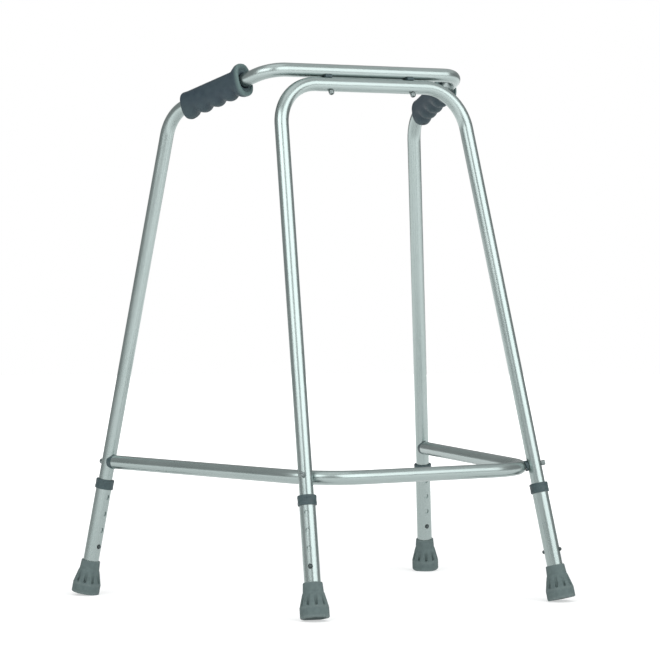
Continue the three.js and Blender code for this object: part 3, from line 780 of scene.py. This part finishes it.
def add_ferrule(leg):
    """Rubber ferrule: neck, gusseted flare with open pockets, sole band and hollow tread."""
    node = f"{leg.name}_ferrule"
    low, high, _, sole = extent(node, leg.frame)
    tube_radius = extent(f"{leg.name}_leg_tube", leg.frame)[3]
    socket_floor = extent(f"{leg.name}_ferrule_washer", leg.frame)[0] - GAP
    neck, socket, vent = 14.9 * MM, tube_radius + GAP, 0.6 * MM
    band, shoulder = low + 16 * MM, low + 36 * MM
    hollow, ring = low + 3 * MM, low + 1.9 * MM  # heights of the tread's hollow and its rings
    tread, soft = 15 * MM, 0.3 * MM
    outline = [(vent, hollow, 0)]
    for start, end in ((5 * MM, 7 * MM), (10 * MM, 12 * MM)):
        outline += [(start, hollow, 0), (start, ring, soft), (end, ring, soft), (end, hollow, 0)]
    outline += [
        (tread, hollow, 0.4 * MM), (tread + 1.5 * MM, low, 0.7 * MM),
        (sole, low, 2.4 * MM), (sole, band, 2.0 * MM), (17.2 * MM, shoulder, 0.9 * MM),
        (15.9 * MM, shoulder + 3.2 * MM, 1.6 * MM), (neck, high - 1 * MM, soft),
        (neck - 0.9 * MM, high, 0.4 * MM), (socket, high, 0.5 * MM),
        (socket, socket_floor, 0.5 * MM), (vent, socket_floor, 0),
    ]
    pockets, half_width, floor_radius, blend = 10, 2.1 * MM, 17.0 * MM, 0.45 * MM
    spacing = 2 * math.pi / pockets
    foot = band + 2.4 * MM

    def pocketed(angle, r, z):
        if r < floor_radius - 1 * MM or z < low + 6 * MM or z > shoulder + 4 * MM:
            return r
        offset = ((angle + spacing / 2) % spacing - spacing / 2) * r
        away = math.hypot(offset, max(0.0, foot + half_width - z)) - half_width
        return r - max(0, r - floor_radius) * (1 - smoothstep(-blend, blend, away))

    verts, faces, lay = revolve(
        resample(fillet(outline, 5), 0.7 * MM), FERRULE_SIDES, leg.frame, pocketed)
    verts = [Vector((v.x, v.y, max(v.z, CAD_BOX[0].z))) for v in verts]  # worn flat on the floor
    obj = piece(f"{node}_moulding", (verts, faces, lay), RUBBER, leg.body,
                node, sharp=50)
    wear = []
    for local in lay:
        sole_scuff = 0.8 * (1 - smoothstep(0, 7 * MM, local.z - low))
        rim = 0.5 * math.exp(-((local.z - band) / (2.2 * MM)) ** 2)
        neck_edge = 0.4 * smoothstep(high - 3 * MM, high, local.z)
        wear.append(min(1, sole_scuff + rim + neck_edge))
    set_wear_and_sheen(obj, wear)


def set_wear_and_sheen(obj, values):
    # Worn places per vertex; on the grip the same values also paint a sheen
    attribute = obj.data.attributes.new("wear", "FLOAT", "POINT")
    attribute.data.foreach_set("value", values)


def add_button(leg, name, sign):
    """Snap button: riveted stem, flange behind the tube wall and a domed head."""
    node = f"{leg.name}_{name}_button"
    line = leg.frame @ Matrix.Rotation(-sign * math.pi / 2, 4, "X")
    base, reach, _, _ = extent(node, line)
    stem, rivet, flange, head, dome = 1.5 * MM, 2.4 * MM, 4.2 * MM, 3.0 * MM, 2.2 * MM
    under_flange, over_flange, rivet_top = 6.8 * MM, 7.8 * MM, base + 0.8 * MM
    outline = [(0, base)]
    outline += fillet([
        (rivet, base, 0.3 * MM), (rivet, rivet_top, 0.1 * MM), (stem, rivet_top, 0),
        (stem, under_flange, 0), (flange, under_flange, 0.2 * MM),
        (flange, over_flange, 0.2 * MM), (head, over_flange, 0), (head, reach - dome, 0),
    ])
    steps = 10
    for i in range(1, steps):
        angle = math.pi / 2 * i / steps
        outline.append((head * math.cos(angle), reach - dome + dome * math.sin(angle)))
    outline.append((0, reach))
    piece(f"{node}_pin", solid_revolve(outline, BUTTON_SIDES, line), DARK,
          f"{leg.name}_{name}_snap", node)


# Joints between the tubes -----------------------------------------------------------------

def bolt_outline(shank_end, head, height):
    """Pan head with its seat at z 0, a round recess in its top, and a threaded shank."""
    tip, rib, thread, recess = 0.5 * MM, 0.5 * MM, 0.3 * MM, 2.3 * MM
    outline = [(0, shank_end), (BOLT_SHANK - tip, shank_end), (BOLT_SHANK, shank_end + tip)]
    turns = max(1, int((-shank_end - 2 * MM) / (2 * rib)))
    for i in range(turns):
        z = shank_end + tip + 2 * rib * i
        outline += [(BOLT_SHANK, z), (BOLT_SHANK - thread, z + rib)]
    outline += [(BOLT_SHANK, -1.0 * MM), (BOLT_SHANK, 0), (head - 0.3 * MM, 0), (head, 0.3 * MM)]
    shoulder, steps = 0.6 * height, 8
    for i in range(steps + 1):
        angle = math.pi / 2 * i / steps
        radius = recess + (head - recess) * math.cos(angle)
        outline.append((radius, shoulder + (height - shoulder) * math.sin(angle)))
    wall = recess - 0.3 * MM
    return outline + [(wall, height - 0.3 * MM), (wall, height - 2.2 * MM),
                      (0, height - 2.6 * MM)]


def add_bolt(node, matrix):
    """A bolt on a CAD bolt's line: matrix has its z out through the head."""
    shank_end, head_top, _, head_radius = extent(node, matrix)
    seat = min(p.z for p in local_points(node, matrix) if p.xy.length > BOLT_SHANK + 2 * GAP)
    outline = bolt_outline(shank_end - seat, head_radius, head_top - seat)
    made = solid_revolve(outline, BOLT_SIDES, matrix @ Matrix.Translation((0, 0, seat)))
    piece(f"{node}_screw", made, ZINC, "frame", node, sharp=30)


def surface_reach(origin, direction, offset, leg, radius):
    """How far along a direction, from origin plus an offset, a line meets a leg's surface."""
    start = origin + offset - leg.pin
    a = direction - leg.up * direction.dot(leg.up)
    b = start - leg.up * start.dot(leg.up)
    half = a.dot(b)
    rest = b.dot(b) - radius ** 2
    return (-half - math.sqrt(max(0.0, half * half - a.dot(a) * rest))) / a.dot(a)


def moulded_post(name, node, matrix, radius, start_of, end_of):
    """A round moulded post with shaped ends: start_of and end_of give them at each point."""
    rim = 0.6 * MM
    rows = [(BOLT_HOLE, 0, 0), (radius - rim, 0, 0), (radius, 0, rim)]
    rows += [(radius, share, 0) for share in (0.25, 0.5, 0.75)]
    rows += [(radius, 1, -rim), (radius - rim, 1, 0), (BOLT_HOLE, 1, 0)]
    lay = []
    for r, share, shift in rows:
        for angle in round_angles(POST_SIDES):
            local = ring_point(r, angle)
            low, high = start_of(local.x, local.y), end_of(local.x, local.y)
            local.z = low + (high - low) * share + shift
            lay.append(local)
    made = [matrix @ local for local in lay], ring_faces(len(rows), POST_SIDES, True), lay
    piece(name, made, COLLAR, "frame", node)


def add_front_rail_joint(leg):
    """Bolt, moulded spacer and nut where the rail passes behind a front leg."""
    on_leg, out = rail_bolt_axis(leg)
    line = axis_frame(on_leg, out)
    add_bolt(f"{leg.name}_rail_bolt", line)
    node = f"{leg.name}_rail_spacer"
    radius = extent(node, line)[3]
    clear = TUBE_RADIUS + GAP

    def to_leg(x, y):
        offset = line.to_3x3() @ Vector((x, y, 0))
        back = on_leg - out * 3 * TUBE_RADIUS
        return surface_reach(back, out, offset, leg, clear) - 3 * TUBE_RADIUS

    rail_centre = -(on_leg - rail_crossing(leg)).length

    def to_rail(x, y):
        round_bend = RAIL_BEND - math.sqrt(RAIL_BEND ** 2 - x * x)
        return rail_centre - round_bend + math.sqrt(max(0.0, clear ** 2 - y * y))

    moulded_post(f"{node}_moulding", node, line, radius, to_rail, to_leg)
    add_nut(leg, line)


def add_nut(leg, line):
    """Hexagon nut with rounded corners top and bottom, and a threaded bore."""
    node = f"{leg.name}_rail_nut"
    low, high, _, radius = extent(node, line)
    hexagon = radius * math.cos(math.pi / 6)
    chamfer, bore = 0.9 * MM, 2.75 * MM
    outline = [(bore + 0.5 * MM, low), (radius - chamfer, low), (radius, low + 0.45 * MM)]
    outline += [(radius, low + (high - low) * t) for t in (0.35, 0.65)]
    outline += [(radius, high - 0.45 * MM), (radius - chamfer, high), (bore + 0.5 * MM, high),
                (bore, high - 0.5 * MM), (bore, low + 0.5 * MM)]
    corner_turn = math.pi / 3

    def six_sided(angle, r, z):
        flat = hexagon / math.cos((angle + corner_turn / 2) % corner_turn - corner_turn / 2)
        return min(r, flat) if r > hexagon * 0.9 else r

    made = revolve(outline, FINE_SIDES, line, six_sided)
    piece(f"{node}_hexagon", made, ZINC, "frame", node, sharp=25)


def add_rear_rail_joint(leg):
    """Bolt through the rear leg, and the saddle between the leg and the rail's end."""
    on_leg, direction = rail_end_axis(leg)
    line = axis_frame(on_leg, direction)
    add_bolt(f"{leg.name}_rail_bolt", line)
    node = f"{leg.name}_rail_saddle"
    low, _, _, radius = extent(node, line)
    clear = TUBE_RADIUS + GAP

    def to_leg(x, y):
        offset = line.to_3x3() @ Vector((x, y, 0))
        back = on_leg - direction * 3 * TUBE_RADIUS
        reach = surface_reach(back, direction, offset, leg, clear) - 3 * TUBE_RADIUS
        return min(reach, -5.5 * MM)

    moulded_post(f"{node}_moulding", node, line, radius, lambda x, y: low, to_leg)


def add_bar_joint(side):
    """Bolt with its head under the front bar, and the spacer between the bars."""
    line, spacing = bar_joint_frame(side)
    add_bolt(f"{side}_bar_bolt", line @ Matrix.Rotation(math.pi, 4, "X"))
    add_bar_spacer(side, line, spacing)


def add_bar_spacer(side, line, spacing):
    """Block with two hollowed faces that sits between the bars."""
    node = f"{side}_bar_spacer"
    local = local_points(node, line)
    half_length, half_depth = max(p.x for p in local), max(p.y for p in local)
    low, high = min(p.z for p in local), max(p.z for p in local)
    clear = TUBE_RADIUS + GAP
    across, along_steps = 16, 8
    verts = []
    for bar, sign in ((0, 1), (spacing, -1)):
        for i in range(along_steps + 1):
            x = half_length * (2 * i / along_steps - 1)
            for j in range(across + 1):
                y = half_depth * (2 * j / across - 1)
                z = bar + sign * math.sqrt(clear ** 2 - y * y)
                verts.append(line @ Vector((x, y, max(low, min(high, z)))))
    row = across + 1
    layer = row * (along_steps + 1)
    faces = []
    for i in range(along_steps):
        for j in range(across):
            a = i * row + j
            faces.append((a, a + 1, a + row + 1, a + row))
            faces.append((layer + a, layer + a + row, layer + a + row + 1, layer + a + 1))
    rim = list(range(row)) + [i * row + across for i in range(1, along_steps + 1)]
    rim += [along_steps * row + j for j in range(across - 1, -1, -1)]
    rim += [i * row for i in range(along_steps - 1, 0, -1)]
    faces += [(a, b, layer + b, layer + a) for a, b in zip(rim, rim[1:] + rim[:1])]
    drill = [(line @ Matrix.Translation((0, 0, spacing / 2)), drill_outline(BOLT_HOLE, 10 * MM))]
    bored(f"{node}_moulding", (verts, faces, verts), drill, COLLAR, "frame",
          node)


# Hand grips -------------------------------------------------------------------------------

def end_round(distance, radius):
    """How much of a rounded end has fallen away: all at the end, none past the radius."""
    return 1 - math.sqrt(1 - (1 - min(distance, radius) / radius) ** 2)


def grip_outline(distance, length):
    """Half width, rise, drop and finger valley of a grip at a distance from its rear end."""
    from_front = length - distance
    end = 2.4 * MM * end_round(distance, 5 * MM) + 2.0 * MM * end_round(from_front, 4 * MM)
    flange = 1 - smoothstep(6 * MM, 22 * MM, from_front)
    lip = 1 - smoothstep(0, 16 * MM, distance)
    first, pitch, count = 37 * MM, 28.5 * MM, 4
    phase = (distance - first) / pitch
    valley = 0.5 - 0.5 * math.cos(2 * math.pi * phase) if -1 < phase < count else 0
    return (
        16 * MM + 0.8 * MM * lip + 1.2 * MM * flange - end,
        20.4 * MM + 0.8 * MM * lip + 7.4 * MM * flange - end,
        22.6 * MM + 1.2 * MM * lip + 2.4 * MM * flange - end,
        valley ** 1.3 * (1 - flange),
    )


def grip_section(angle, width, rise, drop):
    """A point of a squarish oval that rises and drops by different amounts."""
    power, c, s = 2.5, math.cos(angle), math.sin(angle)
    stretch = (abs(c) ** power + abs(s) ** power) ** (-1 / power)
    return c * stretch * width, s * stretch * (rise if s > 0 else drop)


def add_grip(side, sign):
    """Moulded hand grip: finger ridges and a vent below, a flange and a dished face in front."""
    node = f"{side}_hand_grip"
    fronts, rears = handle_corners()
    front, rear = (fronts[0], rears[0]) if sign < 0 else (fronts[1], rears[1])
    ahead = (front - rear).normalized()
    across = UP.cross(ahead).normalized()
    line = basis(across, ahead.cross(across), ahead, rear)
    start, end, _, _ = extent(node, line)
    line = line @ Matrix.Translation((0, 0, start))
    length = end - start
    stations = 190
    valley_depth, dish, bore = 4.6 * MM, 3.0 * MM, TUBE_RADIUS + 0.7 * MM
    vent_at, vent_radius, vent_depth = 7 * MM, 2.6 * MM, 4 * MM
    local, wear = [], []
    for i in range(stations + 1):
        distance = length * i / stations
        width, rise, drop, valley = grip_outline(distance, length)
        for angle in round_angles(GRIP_SIDES):
            a, b = grip_section(angle, width, rise, drop)
            under = smoothstep(0.1, 0.95, -math.sin(angle))
            pull = 1 - valley_depth * valley * under / math.hypot(a, b)
            if b < 0:
                away = math.hypot(a, distance - vent_at)
                pull -= vent_depth * (1 - smoothstep(0.7, 1.2, away / vent_radius)) / drop
            local.append(Vector((a * pull, b * pull, distance)))
            flange = smoothstep(length - 10 * MM, length - 1 * MM, distance)
            # Worn smoother and painted paler as a sheen: faintly on the underside outside the
            # valleys, fully on the flange
            wear.append(min(1, 0.12 * under * (1 - valley) + flange))
    width, rise, drop, _ = grip_outline(length, length)
    for share, depth in ((0.12, 0.0), (0.25, 0.0), (0.38, 0.5), (0.5, 1.0), (0.7, 1.0)):
        for angle in round_angles(GRIP_SIDES):
            a, b = grip_section(angle, width, rise, drop)
            at = Vector((a, b, 0)).lerp(ring_point(bore, angle), share)
            at.z = length - dish * depth
            local.append(at)
            # Painted sheen on the dished face, strongest at its rim
            wear.append(1 - 0.5 * depth)
    mouth = [(length - dish, bore + 0.8 * MM), (length - dish - 0.8 * MM, bore)]
    mouth += [(length * t, bore) for t in (0.75, 0.5, 0.25)]
    mouth += [(2.4 * MM, bore), (1.0 * MM, bore + 1.0 * MM), (0.4 * MM, bore + 3.0 * MM)]
    for distance, radius in mouth:
        local += [ring_point(radius, angle, distance) for angle in round_angles(GRIP_SIDES)]
        wear += [0.0] * GRIP_SIDES
    made = ([line @ p for p in local], ring_faces(len(local) // GRIP_SIDES, GRIP_SIDES, True),
            local)
    obj = piece(f"{node}_moulding", made, GRIP, "frame", node, sharp=50)
    set_wear_and_sheen(obj, wear)


# Hidden parts that stay as the CAD made them ------------------------------------------------

def dress_cad_nodes():
    """Gives the springs, washers, rivet nuts and plugs inside the tubes their finishes."""
    finishes = {"clip_spring": SPRING, "ferrule_washer": ZINC, "bar_rivet_nut": ZINC,
                "rail_plug": COLLAR}
    for name, node in frame["nodes"].items():
        for ending, material in finishes.items():
            if name.endswith(ending):
                node.data.materials.clear()
                node.data.materials.append(material)
                node.data.shade_smooth()
                node.data.set_sharp_from_angle(angle=math.radians(30))


# Studio -----------------------------------------------------------------------------------

def camera_back():
    return heading(CAMERA_AZIMUTH, CAMERA_ELEVATION)


def add_camera():
    data = bpy.data.cameras.new("camera")
    data.lens, data.sensor_width = CAMERA_LENS, 36
    camera = bpy.data.objects.new("camera", data)
    bpy.context.scene.collection.objects.link(camera)
    back = camera_back()
    turn = back.to_track_quat("Z", "Y").to_matrix().to_4x4()
    roll = Matrix.Rotation(math.radians(CAMERA_ROLL), 4, "Z")
    camera.matrix_world = Matrix.Translation(CAMERA_AIM + back * CAMERA_DISTANCE) @ turn @ roll
    bpy.context.scene.camera = camera


def add_floor():
    """A plain pale floor, which glows more with distance, so its far edge doesn't show. It
    sinks with a leg that slides down, to stay under the lowest foot."""
    radius = 9.0
    mesh = bpy.data.meshes.new("floor")
    mesh.from_pydata([ring_point(radius, angle) for angle in round_angles(FINE_SIDES)], [],
                     [range(FINE_SIDES)])
    shader = Shader("pale_floor", 0.75, specular=0.2)
    shader.surface.inputs["Emission Color"].default_value = (1, 1, 1, 1)
    away = shader.node("ShaderNodeVectorMath", operation="LENGTH")
    shader.links.new(shader.place((1, 1, 1)), away.inputs["Vector"])
    glow = shader.spread(away.outputs["Value"], 0.6, 2.6, 0.5, 1.0)
    shader.links.new(glow, shader.surface.inputs["Emission Strength"])
    tone = shader.noise((3, 3, 3), detail=2)
    shader.colour(shader.blend(shader.spread(tone, 0.3, 0.7), (0.58, 0.58, 0.58),
                               (0.60, 0.60, 0.60)))
    mesh.materials.append(shader.material)
    floor = bpy.data.objects.new("floor", mesh)
    floor.location.z = CAD_BOX[0].z - 0.05 * MM
    bpy.context.scene.collection.objects.link(floor)
    for leg in LEGS:
        below = floor.constraints.new("FLOOR")
        below.target = frame["bodies"][leg.body]
        below.floor_location = "FLOOR_NEGATIVE_Z"
        below.offset = floor.location.z


def add_softbox(name, azimuth, elevation, distance, size, power):
    """A rectangular soft light aimed at the middle of the object."""
    data = bpy.data.lights.new(name, "AREA")
    data.shape, data.size, data.size_y = "RECTANGLE", size[0], size[1]
    data.energy = power
    light = bpy.data.objects.new(name, data)
    bpy.context.scene.collection.objects.link(light)
    back = heading(CAMERA_AZIMUTH + azimuth, elevation)
    light.matrix_world = (Matrix.Translation(LIGHTS_AIM + back * distance)
                          @ back.to_track_quat("Z", "Y").to_matrix().to_4x4())


def add_surroundings():
    """White surroundings as the camera sees them. The metal mirrors a grey studio instead,
    lighter overhead and below, and darker away from the camera."""
    world = bpy.data.worlds.new("studio")
    world.use_nodes = True
    bpy.context.scene.world = world
    bpy.context.scene.view_settings.view_transform = "Standard"
    tree = NodeTree(world.node_tree)
    tree.nodes.clear()
    link = tree.links.new
    way = tree.node("ShaderNodeTexCoord").outputs["Generated"]
    split = tree.node("ShaderNodeSeparateXYZ")
    link(way, split.inputs["Vector"])
    ramp = tree.node("ShaderNodeValToRGB")
    link(tree.spread(split.outputs["Z"], -1, 1), ramp.inputs["Fac"])
    band = ramp.color_ramp
    while len(band.elements) < len(STUDIO_LEVELS):
        band.elements.new(0.5)
    for element, (height, level) in zip(band.elements, STUDIO_LEVELS):
        element.position = (height + 1) / 2
        element.color = (level * 0.98, level, level, 1)
    facing = tree.node("ShaderNodeVectorMath", operation="DOT_PRODUCT")
    facing.inputs[1].default_value = camera_back()
    link(way, facing.inputs[0])
    mirrored = tree.node("ShaderNodeBackground")
    link(ramp.outputs["Color"], mirrored.inputs["Color"])
    link(tree.spread(facing.outputs["Value"], -0.2, 0.7, SIDE_LEVEL), mirrored.inputs["Strength"])
    seen = tree.node("ShaderNodeBackground", Color=(1, 1, 1, 1))
    pick = tree.node("ShaderNodeMixShader")
    link(tree.node("ShaderNodeLightPath").outputs["Is Camera Ray"], pick.inputs["Fac"])
    link(mirrored.outputs["Background"], pick.inputs[1])
    link(seen.outputs["Background"], pick.inputs[2])
    link(pick.outputs["Shader"], tree.node("ShaderNodeOutputWorld").inputs["Surface"])


add_camera()
add_surroundings()
for name, settings in SOFTBOXES.items():
    add_softbox(name, *settings)
add_floor()
add_frame_tubes()
for leg in LEGS:
    add_leg_tube(leg)
    add_collar(leg)
    add_ferrule(leg)
    for button, sign in zip(leg.buttons, (1, -1)):
        add_button(leg, button, sign)
for leg in FRONT_LEGS:
    add_front_rail_joint(leg)
for leg in REAR_LEGS:
    add_rear_rail_joint(leg)
for side, sign in SIDES.items():
    add_bar_joint(side)
    add_grip(side, sign)
dress_cad_nodes()

bpy.context.view_layer.update()
